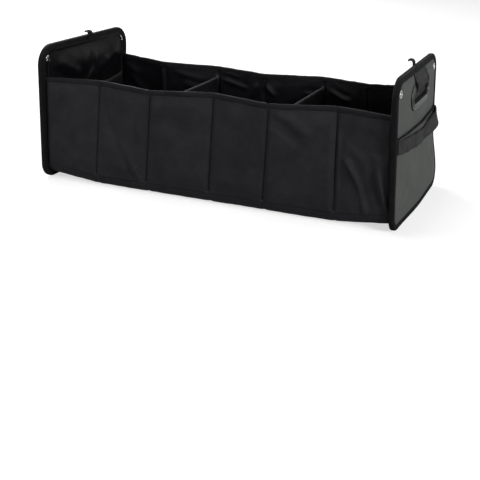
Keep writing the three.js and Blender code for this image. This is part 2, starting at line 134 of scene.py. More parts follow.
def sideways(points):
    """Unit normals of a line in its plane, to its left."""
    along = np.gradient(points, axis=0)
    return unit(np.stack([-along[:, 1], along[:, 0]], 1))


def placed(x, y, z):
    """Points from their three coordinates, any of which may be one number."""
    return np.stack(np.broadcast_arrays(x, y, z), -1)


def middles(*grids):
    """The middles of the cells of grids."""
    return [(grid[1:, 1:] + grid[:-1, :-1]) / 2 for grid in grids]


def off_path(path, normal, at, off):
    """Both coordinates of places off a path in a plane, from the numbers of its points and the
    distances along their normals."""
    moved = path[at] + np.asarray(off)[..., None] * normal[at]
    return moved[..., 0], moved[..., 1]


# Meshes


def linked(name, data):
    """An object of the scene."""
    thing = bpy.data.objects.new(name, data)
    bpy.context.scene.collection.objects.link(thing)
    return thing


def finished(name, points, quads, uv, material, flat_faces=0):
    """A mesh object from points in mm, four-cornered faces and a UV in metres, turned to face
    outwards. Its last flat_faces faces are the cut edges of the cloth."""
    used, places = np.unique(quads, return_inverse=True)
    quads = places.reshape(-1, 4)
    points, uv = points[used] / 1000, uv[used]
    a, b, c, d = (points[quads[:, i]] for i in range(4))
    volumes = np.einsum("ij,ij->i", a, np.cross(b, c)) + np.einsum("ij,ij->i", a, np.cross(c, d))
    if volumes.sum() < 0:
        quads = quads[:, ::-1]
    mesh = bpy.data.meshes.new(name)
    mesh.from_pydata(points, [], quads)
    layer = mesh.uv_layers.new(name="UVMap")
    layer.data.foreach_set("uv", uv[quads.ravel()].astype(np.float32).ravel())
    mesh.polygons.foreach_set("use_smooth", np.arange(len(quads)) < len(quads) - flat_faces)
    mesh.materials.append(material)
    mesh.update()
    return linked(name, mesh)


def cells(rows, columns, ring_rows=False, ring_columns=False):
    """The faces between neighbouring points of a grid, as indices."""
    r, c = np.indices((rows - 1 + ring_rows, columns - 1 + ring_columns))
    r2, c2 = (r + 1) % rows, (c + 1) % columns
    corners = [r * columns + c, r * columns + c2, r2 * columns + c2, r2 * columns + c]
    return np.stack(corners, -1).reshape(-1, 4)


def shell(name, face, back, material, keep=None):
    """Cloth with two faces and a cut edge along every edge where kept cells end. Its UV is the
    running length in metres along the grid's middle row and middle column."""
    rows, columns = face.shape[:2]
    count = rows * columns
    quads = cells(rows, columns)
    if keep is not None:
        quads = quads[keep.ravel()]
    edges = np.stack([quads, np.roll(quads, -1, 1)], -1).reshape(-1, 2)
    key = edges[:, 0] * count + edges[:, 1]
    free = edges[~np.isin(key, edges[:, 1] * count + edges[:, 0])]
    rim = np.stack([free[:, 1], free[:, 0], free[:, 0] + count, free[:, 1] + count], -1)
    faces = np.concatenate([quads, quads[:, ::-1] + count, rim])
    points = np.concatenate([face.reshape(-1, 3), back.reshape(-1, 3)])
    u, v = lengths(face[rows // 2])[None, :] / 1000, lengths(face[:, columns // 2])[:, None] / 1000
    uv = np.stack(np.broadcast_arrays(u, v), -1).reshape(-1, 2)
    return finished(name, points, faces, np.concatenate([uv, uv]), material, len(rim))


def tube(name, points, material, ring=True):
    """A solid from rings of points: rows run along the path, columns round the section. A path
    that isn't a ring is closed at both ends."""
    rows, columns = points.shape[:2]
    quads = [cells(rows, columns, ring, True)]
    round_way = lengths(np.concatenate([points[0], points[0, :1]]))[:-1] / 1000
    along = lengths(points[:, 0]) / 1000
    uv = np.stack(np.broadcast_arrays(along[:, None], round_way[None, :]), -1)
    if not ring:
        half = columns // 2
        low, high = np.arange(half - 1), columns - 1 - np.arange(half - 1)
        cap = np.stack([low, low + 1, high - 1, high], -1)
        quads += [cap[:, ::-1], cap + (rows - 1) * columns]
    return finished(name, points.reshape(-1, 3), np.concatenate(quads), uv.reshape(-1, 2), material)


def stitching(name, lines, material, radius=0.32):
    """Rows of thread, as small beads along lines that come with the direction their cloth faces. A
    bead is four rings of four points, thin at its ends, which dip in."""
    places, alongs, outs = [], [], []
    for line, out in lines:
        run = lengths(line)
        at = np.arange(STITCH_PITCH / 2, run[-1], STITCH_PITCH)
        pick = lambda values: np.stack([np.interp(at, run, values[:, i]) for i in range(3)], 1)
        places.append(pick(line))
        alongs.append(unit(pick(np.gradient(line, axis=0))))
        outs.append(unit(pick(np.broadcast_to(out, line.shape))))
    place, along, out = (np.concatenate(v)[:, None, None, :] for v in (places, alongs, outs))
    side = unit(np.cross(along, out))
    t = np.array([-1, -0.5, 0.5, 1])[None, :, None, None]
    turn = (np.arange(4) * ROUND / 4)[None, None, :, None]
    thick = radius * np.array([0.3, 1, 1, 0.3])[None, :, None, None]
    middle = place + along * t * STITCH_LENGTH / 2 + out * (radius * 0.4 - radius * t * t)
    points = (middle + thick * (side * np.cos(turn) + out * np.sin(turn))).reshape(-1, 3)
    one = np.concatenate([cells(4, 4, False, True), [[3, 2, 1, 0]], [[12, 13, 14, 15]]])
    quads = (one[None] + 16 * np.arange(len(place))[:, None, None]).reshape(-1, 4)
    return finished(name, points, quads, points[:, :2] / 1000, material)


def shown(piece, slot, *nodes):
    """A piece rides on the organizer's one body and stands for its nodes, which it hides. Its slot is not used."""
    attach(piece, "root")
    if nodes:
        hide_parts(*nodes)
    return piece


# Materials


class Nodes:
    """A tree of shader nodes, added one by one."""

    def __init__(self, owner):
        owner.use_nodes = True
        self.nodes, self.links = owner.node_tree.nodes, owner.node_tree.links

    def add(self, kind, values=(), **settings):
        """A node with its settings, and its inputs given as numbers or as other nodes' outputs."""
        node = self.nodes.new(kind)
        for key, value in settings.items():
            setattr(node, key, value)
        for key, value in dict(values).items():
            self.give(node, key, value)
        return node

    def give(self, node, key, value):
        """Sets one input, or links it."""
        if isinstance(value, bpy.types.NodeSocket):
            self.links.new(value, node.inputs[key])
        else:
            node.inputs[key].default_value = value

    def math(self, operation, *values):
        """A Math node's result."""
        return self.add("ShaderNodeMath", enumerate(values), operation=operation).outputs[0]

    def weighed(self, one, share, other, other_share):
        """The sum of two values, each times its share."""
        return self.math("ADD", self.math("MULTIPLY", one, share), self.math("MULTIPLY", other, other_share))


class Recipe(Nodes):
    """A material's nodes."""

    def __init__(self, name):
        self.material = bpy.data.materials.new(name)
        super().__init__(self.material)
        self.surface = self.nodes["Principled BSDF"]

    def place(self, source, scale=(1, 1, 1)):
        """The UV in metres, or the object's own place, in units that are scale times finer."""
        where = self.add("ShaderNodeTexCoord").outputs[source]
        return self.add("ShaderNodeMapping", {"Vector": where, "Scale": scale}).outputs[0]

    def noise(self, where, scale, detail=2.0, roughness=0.5):
        """A noise texture's value."""
        values = {"Vector": where, "Scale": scale, "Detail": detail, "Roughness": roughness}
        return self.add("ShaderNodeTexNoise", values).outputs["Fac"]

    def ramp(self, value, low, high, start=(0, 0, 0), end=(1, 1, 1)):
        """A colour between two colours, as a value goes from low to high."""
        node = self.add("ShaderNodeValToRGB", {"Fac": value})
        for element, at, colour in zip(node.color_ramp.elements, (low, high), (start, end)):
            element.position = at
            element.color = (*colour, 1)
        return node.outputs["Color"]

    def blend(self, share, one, other, kind="MIX"):
        """Two colours mixed."""
        values = {0: share, 6: one, 7: other}
        return self.add("ShaderNodeMix", values, data_type="RGBA", blend_type=kind).outputs[2]

    def raise_by(self, height, distance, strength):
        """Bump from a height, whose full range is distance in metres."""
        values = {"Height": height, "Distance": distance, "Strength": strength}
        normal = self.surface.inputs["Normal"]
        if normal.is_linked:
            values["Normal"] = normal.links[0].from_socket
        self.links.new(self.add("ShaderNodeBump", values).outputs[0], normal)

    def finish(self, colour, roughness, **constants):
        """Sets the shader: colour and roughness may vary, everything else is one number."""
        for key, value in {"Base Color": colour, "Roughness": roughness, **constants}.items():
            self.give(self.surface, key.replace("_", " "), value)
        return self.material


def threads(recipe, where, across):
    """Height of one set of threads: a rounded wave along X or Y, about three threads a unit."""
    wave = recipe.add("ShaderNodeTexWave", {"Vector": where, "Scale": 1.0}, bands_direction=across)
    return wave.outputs["Fac"]


def weave(recipe, pitch):
    """A plain weave: warp over weft and weft over warp in turn."""
    where = recipe.place("UV", (1 / pitch, 1 / pitch, 1))
    warp, weft = threads(recipe, where, "X"), threads(recipe, where, "Y")
    half = recipe.place("UV", (0.5 / pitch, 0.5 / pitch, 1))
    over = recipe.math("ADD", threads(recipe, half, "X"), threads(recipe, half, "Y"))
    side = recipe.math("PINGPONG", over, 1.0)
    return recipe.weighed(warp, side, weft, recipe.math("SUBTRACT", 1.0, side))


def heather_cloth():
    """Grey melange: light and dark yarns in short lengths, in both directions, on a plain weave."""
    r = Recipe("heather_cloth")
    dark, middle, light = (0.046, 0.050, 0.047), (0.080, 0.086, 0.081), (0.150, 0.158, 0.149, 1)
    weft = r.noise(r.place("UV", (220, 1500, 1)), 1.0, 3, 0.6)
    warp = r.noise(r.place("UV", (1500, 220, 1)), 1.0, 3, 0.6)
    yarn = r.weighed(weft, 0.5, warp, 0.5)
    body = r.ramp(yarn, 0.40, 0.60, dark, middle)
    flecks = r.ramp(r.math("MAXIMUM", weft, warp), 0.60, 0.74)
    body = r.blend(flecks, body, light)
    tone = r.noise(r.place("UV"), 18.0, 2)
    broad = r.ramp(tone, 0.35, 0.65, (0.9, 0.9, 0.9), (1.06, 1.06, 1.06))
    body = r.blend(1.0, body, broad, "MULTIPLY")
    r.raise_by(weave(r, 0.0008), 0.00025, 0.6)
    r.raise_by(yarn, 0.0006, 0.5)
    return r.finish(body, 0.92, Sheen_Weight=0.08, Sheen_Roughness=0.5, Specular_IOR_Level=0.18)


def woven_cloth(name, low, high, pitch, roughness, sheen, shine=0.06):
    """Coated woven polyester: a fine plain weave, slightly uneven in tone and shine."""
    r = Recipe(name)
    tone = r.noise(r.place("Object"), 30.0, 4, 0.6)
    slub = r.noise(r.place("UV", (120, 1800, 1)), 1.0, 2)
    body = r.ramp(r.weighed(tone, 0.6, slub, 0.4), 0.35, 0.65, low, high)
    rough = r.weighed(tone, 0.16, 1.0, roughness - 0.08)
    r.raise_by(weave(r, pitch), pitch / 4, 0.7)
    r.raise_by(slub, 0.0002, 0.4)
    return r.finish(body, rough, Sheen_Weight=sheen, Sheen_Roughness=0.4, Specular_IOR_Level=shine)


def ribbed_tape(name, low, high, pitch, roughness):
    """Woven tape or webbing: ribs across its length, finer threads along it, worn a little lighter."""
    r = Recipe(name)
    where = r.place("UV", (1 / pitch, 1 / pitch, 1))
    ribs = threads(r, where, "X")
    fine = threads(r, r.place("UV", (2.2 / pitch, 2.2 / pitch, 1)), "Y")
    worn = r.noise(r.place("Object"), 60.0, 4, 0.65)
    body = r.ramp(r.weighed(ribs, 0.35, worn, 0.65), 0.3, 0.75, low, high)
    r.raise_by(ribs, pitch / 4, 0.8)
    r.raise_by(fine, pitch / 8, 0.5)
    return r.finish(body, roughness, Specular_IOR_Level=0.04)


def rim_plastic():
    """Semi-gloss moulded plastic with a fine leathery grain and faint rubbing marks."""
    r = Recipe("rim_plastic")
    where = r.place("Object")
    grain = r.add("ShaderNodeTexVoronoi", {"Vector": where, "Scale": 1100.0}).outputs["Distance"]
    rubbed = r.noise(where, 90.0, 5, 0.7)
    body = r.ramp(rubbed, 0.35, 0.7, (0.011, 0.011, 0.012), (0.02, 0.02, 0.021))
    r.raise_by(grain, 0.00012, 0.5)
    return r.finish(body, r.weighed(rubbed, 0.2, 1.0, 0.26), Specular_IOR_Level=0.5)


def nickel():
    """Plated metal with fine marks. The bore, last on the way round a ring's section, is painted near black:
    painted shade inside the ring.
    """
    r = Recipe("nickel")
    where = r.place("Object")
    spots = r.noise(where, 260.0, 4, 0.6)
    body = r.ramp(spots, 0.3, 0.7, (0.5, 0.5, 0.5), (0.68, 0.68, 0.67))
    way_round = r.add("ShaderNodeSeparateXYZ", {"Vector": r.place("UV")}).outputs["Y"]
    # Painted shade: the ring's bore is coloured near black, where shade falls inside it.
    painted_bore_shade = r.math("MULTIPLY", r.math("GREATER_THAN", way_round, 0.0208), 0.93)
    body = r.blend(painted_bore_shade, body, (0.02, 0.02, 0.02, 1))
    r.raise_by(r.noise(where, 900.0, 2), 0.00004, 0.4)
    return r.finish(body, r.weighed(spots, 0.25, 1.0, 0.16), Metallic=1.0)


def grey_board():
    """Pressed board: mottled grey-brown fibres."""
    r = Recipe("grey_board")
    fibres = r.noise(r.place("Object"), 300.0, 6, 0.7)
    body = r.ramp(fibres, 0.3, 0.7, (0.2, 0.17, 0.13), (0.36, 0.32, 0.26))
    r.raise_by(fibres, 0.0003, 0.5)
    return r.finish(body, 0.9)


def thread():
    """Black polyester thread, twisted, a little shinier than the cloth."""
    r = Recipe("thread")
    twist = r.noise(r.place("Object"), 1500.0, 2)
    body = r.ramp(twist, 0.3, 0.7, (0.009, 0.009, 0.0095), (0.022, 0.022, 0.023))
    r.raise_by(twist, 0.0001, 0.5)
    return r.finish(body, 0.7, Specular_IOR_Level=0.2)


HEATHER = heather_cloth()
# Cloths: darker and lighter tone, pitch, roughness, sheen, shine
WALL_CLOTH, SHADED_HEM_CLOTH, SHADED_LINING_CLOTH, LINING_CLOTH, WRAP_CLOTH = (woven_cloth(*row) for row in (
    ("wall_cloth", (0.0130, 0.0125, 0.0149), (0.0225, 0.0216, 0.0253), 0.0007, 0.5, 0.02, 0.08),
    # Painted shade: a darker copy of the wall cloth for the hem, against the overhead light on the hem's top.
    ("shaded_hem_cloth", (0.0080, 0.0078, 0.0090), (0.0145, 0.0141, 0.0159), 0.0007, 0.55, 0, 0.05),
    # Painted shade: a darker copy of the lining cloth for the end linings, which the right lamp lights more than
    # the other lining.
    ("shaded_lining_cloth", (0.0020, 0.0019, 0.0024), (0.0050, 0.0049, 0.0059), 0.0006, 0.38, 0, 0.065),
    ("lining_cloth", (0.0042, 0.0041, 0.0051), (0.0085, 0.0083, 0.0102), 0.0006, 0.38, 0.01, 0.085),
    ("wrap_cloth", (0.0150, 0.0150, 0.0156), (0.0240, 0.0240, 0.0247), 0.0007, 0.6, 0.02, 0.06),
))
BINDING = ribbed_tape("binding_tape", (0.0052, 0.0052, 0.0055), (0.0150, 0.0150, 0.0158), 0.0013, 0.62)
WEBBING = ribbed_tape("webbing", (0.031, 0.031, 0.0316), (0.068, 0.068, 0.0692), 0.0017, 0.6)
PLASTIC = rim_plastic()
NICKEL = nickel()
BOARD = grey_board()
THREAD = thread()


# End panels


def end_bow(side, y, z):
    """How far an end bows outwards: the right one, round its handle and at its lower rear."""
    if side == "left":
        return 0 * y
    handle = 5.5 * np.maximum(1 - (y / 160) ** 2, 0) * step(z, 60, 190) * step(266 - z, 0, 20)
    return handle + 8.5 * step(y, -155, 30) * step(118 - z, 0, 90)


def to_world(points, side):
    """From an end panel's frame to the organizer's: bowed, leaned about the ground line and moved
    to its end. The right end's top sinks 2 mm. The left end is turned half round."""
    x, y, z = points[..., 0], points[..., 1], points[..., 2]
    x = x + end_bow(side, y, z)
    z = z - (2 * step(z, 170, 262) if side == "right" else 0)
    along = LENGTH / 2 + x * math.cos(LEAN) - z * math.sin(LEAN)
    up = PANEL_LIFT + x * math.sin(LEAN) + z * math.cos(LEAN)
    turn = 1 if side == "right" else -1
    return np.stack([turn * along, turn * y, up], -1)


def at_end(side, name, slot, nodes, grids, *rest):
    """A piece of an end from grids in the panel's frame: a shell from two, a tube from one. Its
    nodes stand in one text with spaces between."""
    piece = (shell if len(grids) == 2 else tube)(f"{side}_{name}", *(to_world(grid, side) for grid in grids), *rest)
    return shown(piece, slot, *(f"{side}_{node}" for node in nodes.split()))


def sewn(side, name, slot, *seams):
    """Thread on an end: a seam is a line in the panel's frame and the way that its cloth faces, 1
    outwards or -1 inwards."""
    lines = []
    for line, way in seams:
        lines.append((to_world(line, side), to_world(way * OUT, side) - to_world(0 * OUT, side)))
    shown(stitching(f"{side}_{name}_thread", lines, THREAD), slot)


def outline(places, outs, count):
    """A closed line in the panel's plane at even steps: places (y, z) and outward directions."""
    line = np.concatenate([places, outs], 1)
    line = np.concatenate([line, line[:1]])
    run = lengths(line[:, :2])
    at = np.linspace(0, run[-1], count, endpoint=False)
    line = np.stack([np.interp(at, run, column) for column in line.T], 1)
    return line[:, :2], unit(line[:, 2:])


def circle(start, end, count, endpoint=True):
    """Directions round part of a circle."""
    angle = np.linspace(start, end, count, endpoint=endpoint)
    return np.stack([np.cos(angle), np.sin(angle)], 1)


def rounded_box():
    """The panel's outline: four quarter circles and the straight sides between them."""
    low, high = BOTTOM_RADIUS, HEIGHT - TOP_RADIUS
    places, outs = [], []
    for quarter, (sign, z, radius) in enumerate((
        (1, low, BOTTOM_RADIUS), (1, high, TOP_RADIUS), (-1, high, TOP_RADIUS), (-1, low, BOTTOM_RADIUS),
    )):
        out = circle((quarter - 1) * math.pi / 2, quarter * math.pi / 2, 24)
        places.append(np.array([sign * (WIDTH / 2 - radius), z]) + radius * out)
        outs.append(out)
    return outline(np.concatenate(places), np.concatenate(outs), 328)


def carried(base, out, away, x):
    """A section carried along a line in the panel's plane, from its distance away from the line
    and its place along x."""
    yz = base[:, None] + away[..., None] * out[:, None]
    return np.concatenate([np.broadcast_to(x, yz.shape[:2])[..., None], yz], -1)


def inside_panel(y, z, inset):
    """How far a place lies inside the panel's outline, less an inset."""
    radius = np.where(z > HEIGHT / 2, TOP_RADIUS, BOTTOM_RADIUS)
    dy = np.abs(y) - (WIDTH / 2 - radius)
    dz = np.abs(z - HEIGHT / 2) - (HEIGHT / 2 - radius)
    outside = np.hypot(np.maximum(dy, 0), np.maximum(dz, 0)) + np.minimum(np.maximum(dy, dz), 0)
    return radius - outside - inset


def from_slot(y, z):
    """Distance outwards from the slot's edge."""
    return np.hypot(np.maximum(np.abs(y) - SLOT_STRAIGHT, 0), z - SLOT_CENTRE) - SLOT_RADIUS


def from_eyelets(y, z):
    """Distance from the nearer eyelet's centre."""
    return np.hypot(np.abs(y) - EYELET_Y, z - EYELET_Z)


def panel_grid(inset, apart=2.5):
    """A grid over the panel, its cells' middles, and which of them lie inside and off the eyelets."""
    y, z = np.meshgrid(
        np.linspace(-WIDTH / 2 + inset, WIDTH / 2 - inset, int((WIDTH - 2 * inset) / apart)),
        np.linspace(inset, HEIGHT - inset, int((HEIGHT - 2 * inset) / apart)),
    )
    my, mz = middles(y, z)
    keep = (inside_panel(my, mz, inset) > 0) & (from_eyelets(my, mz) > 5.9)
    return y, z, my, mz, keep


def cover(side, seed):
    """The heather cover: flat on its board, slightly uneven, and open under the slot's rim."""
    y, z, my, mz, keep = panel_grid(4.0)
    keep &= from_slot(my, mz) > 4
    edge = inside_panel(y, z, BINDING_EDGE)
    uneven = 0.25 * (1 + ripples(y, z, seed, 90)) * step(edge, 0, 25)
    pucker = 0.35 * bell(edge - 3, 5) * (1 + ripples(y, z, seed + 1, 22))
    raised = (uneven + pucker) * step(from_slot(y, z), 12, 20) * step(from_eyelets(y, z), 7, 14)
    grids = placed(raised, y, z), placed(-CLOTH, y, z)
    piece = at_end(side, "end_cover", "heather_cloth", "outer_cover", grids, HEATHER, keep)


def panel_board(side):
    """The stiff board between the cloths, 3 mm thick, with room for the rim and the eyelets."""
    y, z, my, mz, keep = panel_grid(4.5, 4.0)
    keep &= from_slot(my, mz) > 3
    grids = placed(-1.5, y, z), placed(-4.5, y, z)
    at_end(side, "end_board", "board", "panel_board handle_rim_clip", grids, BOARD, keep)


def lining_stand_off(y, z):
    """The lining's distance from its board: most behind the slot, none at its border."""
    across = np.maximum(1 - (y / 120) ** 2, 0)
    down = np.maximum(HEIGHT - 20 - z, 0) / 32
    return 8 * across**2 * down**2 * np.exp(2 - 2 * down)


def lining_border(side):
    """The flat black cloth between the binding and the lining's edge, a ring over the board."""
    y, z, my, mz, keep = panel_grid(4.0)
    keep &= inside_panel(my, mz, BINDING_EDGE) < 20
    grids = placed(LINING_INNER, y, z), placed(LINING_INNER + CLOTH, y, z)
    at_end(side, "lining_border", "black_cloth", "", grids, LINING_CLOTH, keep)


LINING_FOLDS = [  # start y and z, end y and z, height, width, bow
    (-118, 236, -30, 196, 4.0, 13, 8), (112, 240, 30, 200, 4.4, 12, -8),
    (-8, 238, 22, 180, -3.8, 9, 5), (-20, 232, 6, 176, 3.0, 8, 5),
    (-80, 150, 60, 165, -1.2, 9, 5), (-20, 120, 110, 95, 1.2, 10, 4),
]


def end_lining(side, seed):
    """The loose black lining: rows as wide as a rounded box is there. It stands off behind the
    slot, with broad slack folds, calmer behind the flap, and its turned edge is a little proud."""
    half, low, high, radius = 141.5, 22.0, 258.5, 34.0
    bend = np.linspace(0, math.pi / 2, 14)
    rise, reach = radius * (1 - np.cos(bend)), radius * (1 - np.sin(bend))
    straight = np.linspace(low + radius, high - radius, 72)[1:-1]
    rows_z = np.concatenate([low + rise, straight, high - reach])[:, None]
    rows_y = np.concatenate([half - reach, np.full(70, half), half - rise])[:, None]
    across = np.sin(np.linspace(-math.pi / 2, math.pi / 2, 111) * 0.88) / math.sin(math.pi / 2 * 0.88)
    y, z = across * rows_y, rows_z + 0 * across
    edge = np.minimum(rows_y - np.abs(y), np.minimum(z - low, high - z))
    folds = 2.2 * ripples(y, z, seed, 190, 2) + 1.1 * ripples(y, z, seed + 1, 70, 3)
    folds += sum(wrinkle(y, z, *line) for line in LINING_FOLDS)
    slack = lining_stand_off(y, z) + step(edge, 2, 34) * np.maximum(folds + 1.4, 0)
    rolled = 1.7 * bell(edge - 1.6, 2.1) - 0.5 * bell(edge - 6.5, 1.8)
    face = placed(LINING_INNER - 1.5 - (1 - 0.6 * step(178 - z, 0, 30)) * slack - rolled, y, z)
    grids = face, face + CLOTH * OUT
    # The end lining takes the darker copy of the lining cloth: painted shade.
    piece = at_end(side, "end_lining", "black_cloth", "inner_lining", grids, SHADED_LINING_CLOTH)
    near = face - 0.1 * OUT
    sewn(side, "lining", "black_cloth", (near[:, 5], -1), (near[:, 105], -1), (near[-6, 8:103], -1))


def slot_backing(side, seed):
    """The cloth seen through the slot: a slack sheet behind the board that bulges into the slot."""
    y, z = np.meshgrid(np.linspace(-69, 69, 56), np.linspace(SLOT_CENTRE - 22, SLOT_CENTRE + 22, 20))
    keep = from_slot(*middles(y, z)) < 7
    bulge = 5.5 * step(-from_slot(y, z), -1.5, 7) * (1 + 0.12 * ripples(y, z, seed, 60, 3))
    grids = placed(bulge - 7.5, y, z), placed(bulge - 7.5 - CLOTH, y, z)
    piece = at_end(side, "slot_backing", "black_cloth", "", grids, WRAP_CLOTH, keep)


BINDING_PROFILE = [  # inset from the panel's edge, place along x
    (10.5, 0.5), (10.6, 1.3), (9.6, 1.95), (6.2, 2.1), (2.6, 2.0), (0.7, 1.3), (0.0, -0.4), (0.0, -5.4),
    (0.7, -7.1), (2.6, -7.9), (6.2, -8.0), (9.6, -7.85), (10.6, -7.2), (10.5, -6.5), (9.4, -6.4),
    (2.2, -6.3), (1.6, -5.4), (1.6, -0.6), (2.2, 0.3), (9.4, 0.4),
]


def binding(side, seed):
    """Tape folded over the panel's edge: a U section round the outline, puckered at the corners."""
    base, out = rounded_box()
    run = lengths(base)[:, None]
    inset, x = rounded(BINDING_PROFILE, 1).T[:, None]
    bend = 1 - step(np.abs(out).max(1), 0.9, 1.0)[:, None]
    pucker = (0.12 + 0.25 * bend) * ripples(run, 3 * inset, seed, 14)
    x = x + pucker * np.sign(x + 3) * step(inset, 0.5, 4) * step(10.4 - inset, -1, 2)
    inset = inset + 0.18 * ripples(run, x, seed + 1, 60) * step(inset, 4, 9)
    points = carried(base, out, -inset, x)
    at_end(side, "binding", "binding_tape", "edge_binding", [points], BINDING)
    ring = base - 8.4 * out
    ring = np.concatenate([ring, ring[:1]])
    sewn(side, "binding", "binding_tape", (np.insert(ring, 0, 2.1, 1), 1), (np.insert(ring, 0, -8.0, 1), -1))


RIM_PROFILE = [  # distance outwards from the slot's edge, place along x
    (10.6, 0.3), (11.0, 1.4), (10.6, 2.6), (9.7, 3.1), (8.7, 3.0), (7.9, 2.4), (7.1, 2.2), (6.2, 2.6),
    (4.8, 3.8), (3.0, 4.3), (1.3, 3.9), (0.3, 2.6), (0.0, 0.6), (0.0, -6.4), (0.5, -6.8), (1.5, -6.8), (1.5, 0.2),
]


def slot_rim(side):
    """The moulded rim: an outer lip, a groove, a raised inner roll and a collar through the slot,
    carried round two straights and two half circles."""
    right = circle(-math.pi / 2, math.pi / 2, 30)
    out = np.concatenate([right, -right])
    ends = np.repeat([(SLOT_STRAIGHT, SLOT_CENTRE), (-SLOT_STRAIGHT, SLOT_CENTRE)], 30, 0)
    points = carried(*outline(ends + SLOT_RADIUS * out, out, 132), *rounded(RIM_PROFILE).T[:, None])
    at_end(side, "slot_rim", "rim_plastic", "handle_rim", [points], PLASTIC)


def wrap(side, seed):
    """Cloth over the bar above the slot: from under the binding over the rim and into the slot,
    with doubled hems at both sides and soft dents."""
    path = evenly(rounded([
        (0.9, 259), (1.3, 249), (2.6, 245.5), (4.9, 243), (5.5, 238), (5.4, 233), (4.6, 230.6), (2.4, 229.9),
        (-1.8, 230),
    ], 2, False), 34)
    normal = sideways(path)
    y, at = np.meshgrid(np.linspace(-46, 46, 75), np.arange(34))
    hem = 0.5 * step(np.abs(y), 37.2, 38.6)
    dents = 0.35 * ripples(y, at * 1.5, seed, 34) * step(at, 0, 6) * step(30 - at, 0, 8)
    wave = 0.6 * ripples(at * 2.0, 0 * y, seed + 3, 30) * np.sign(y) * step(np.abs(y), 20, 46)

    def layer(off):
        x, z = off_path(path, normal, at, off)
        return placed(x, y + wave, z)

    face, back = layer(CLOTH / 2 + hem + dents + 0.2), layer(dents * 0.5 - CLOTH / 2)
    piece = at_end(side, "wrap", "black_cloth", "handle_wrap", (face, back), WRAP_CLOTH)
    near = face[2:26] + 0.1 * placed(normal[2:26, 0], 0, normal[2:26, 1])[:, None]
    sewn(side, "wrap", "black_cloth", (near[:, 6], 1), (near[:, 68], 1))


EYELET_PROFILE = [  # radius, place along x
    (4.6, 0.1), (4.75, 0.9), (5.2, 1.3), (5.9, 1.35), (6.7, 1.0), (7.1, 0.35), (6.9, 0.15), (5.0, 0.1),
    (5.0, -6.2), (7.0, -6.3), (7.2, -6.7), (6.6, -7.1), (5.4, -7.25), (4.8, -7.2), (4.6, -6.8),
]


def eyelet(side, sign, name):
    """A rolled ring through the panel."""
    centre = np.broadcast_to((sign * EYELET_Y, EYELET_Z), (48, 2))
    points = carried(centre, circle(0, ROUND, 48, False), *rounded(EYELET_PROFILE).T[:, None])
    at_end(side, f"{name}_ring", "nickel", f"{name}_eyelet", [points], NICKEL)


def pocket_stand_off(y, z):
    """The pocket's distance from the cover: most at half its height, little at its taut mouth."""
    up = np.clip((z - BINDING_EDGE) / (POCKET_TOP - BINDING_EDGE), 0, 1)
    return (1 - (y / WALL_LINE) ** 4) * (5 * np.sin(up * math.pi) + 2.2 * up)


def pocket(side, seed):
    """The outer pocket: heather cloth a little off the cover, with draglines from its lower corners
    and its sewn edges under the binding. Its mouth has a turned edge and rises to the front."""
    y, z = np.meshgrid(np.linspace(-WALL_LINE - 3, WALL_LINE + 3, 122), np.linspace(6, POCKET_TOP, 64))
    keep = inside_panel(*middles(y, z), 6.0) > 0
    stand_off = pocket_stand_off(np.clip(y, -WALL_LINE, WALL_LINE), np.maximum(z, BINDING_EDGE))
    inside = inside_panel(y, z, BINDING_EDGE)
    slack = step(inside, 0, 34) * (0.8 * ripples(y, z * 0.7, seed, 120) + 0.35 * ripples(y, z, seed + 1, 36))
    drag = wrinkle(y, z, -136, 28, -70, 92, 1.2, 7, 5) + wrinkle(y, z, 136, 28, 64, 100, 1.3, 7, -5)
    edge = 0.5 * step(z, POCKET_TOP - 9, POCKET_TOP - 7.6)
    tucked = 1.3 * step(-inside, -5, -0.5)
    off = CLEAR + CLOTH + stand_off + np.maximum(slack + 0.6, 0) + drag + edge - tucked
    z = z + 5 * step(-y, -30, WALL_LINE) * step(z, 90, POCKET_TOP)
    face, back = placed(off, y, z), placed(off - CLOTH - edge, y, z)
    piece = at_end(side, "pocket", "heather_cloth", "outer_pocket", (face, back), HEATHER, keep)
    return face[-1]


def piping(side, mouth):
    """The cord along the pocket's mouth: a circle carried along the mouth's line."""
    section = 1.6 * circle(0, ROUND, 10, False)
    points = mouth[2:-2, None] + np.array([-0.2, 0, 1.2]) + np.insert(section, 1, 0, 1)
    at_end(side, "mouth_piping", "binding_tape", "pocket_piping", [points], BINDING, False)


STRAP_DROOP = [  # place across the panel, how far the strap hangs below its sewn height
    (-149, -6.5), (-120, -6), (-54, -1), (-20, 4), (0, 6.5), (12, 6.5), (35, 2), (60, -1), (149, -3.5),
]


def strap(side, seed):
    """Webbing across the pocket's mouth: two slack lobes that droop and tip outwards at their lower
    edge, the rear one fuller and the front one with three soft folds."""
    y, w = np.meshgrid(np.linspace(-WALL_LINE, WALL_LINE, 150), np.linspace(-12.5, 12.5, 13))
    rear = y >= 15
    start, end = np.where(rear, 15, -WALL_LINE), np.where(rear, WALL_LINE, 15)
    lobe = np.maximum(np.sin(math.pi * (y - start) / (end - start)), 0) ** 0.75
    folds = bell(y + 118, 7) - 0.7 * bell(y + 98, 8) + 0.8 * bell(y + 70, 9)
    off = 3.2 + step(WALL_LINE - np.abs(y), 0, 15) + pocket_stand_off(y, POCKET_TOP - 14)
    off = off + np.where(rear, 9, 5) * lobe + 2.1 * folds - np.where(rear, 0.3, 0.05) * lobe * w
    curl = 0.5 * (w / 12.5) ** 2 + 0.25 * ripples(y, w, seed, 40)
    face = placed(off + 0.75 + curl, y, POCKET_TOP - 14.5 + w - np.interp(y, *np.transpose(STRAP_DROOP)))
    at_end(side, "webbing_strap", "webbing", "strap", (face, face - 1.5 * OUT), WEBBING)
    near = face + 0.1 * OUT
    sewn(side, "strap", "webbing", (near[1], 1), (near[11], 1))


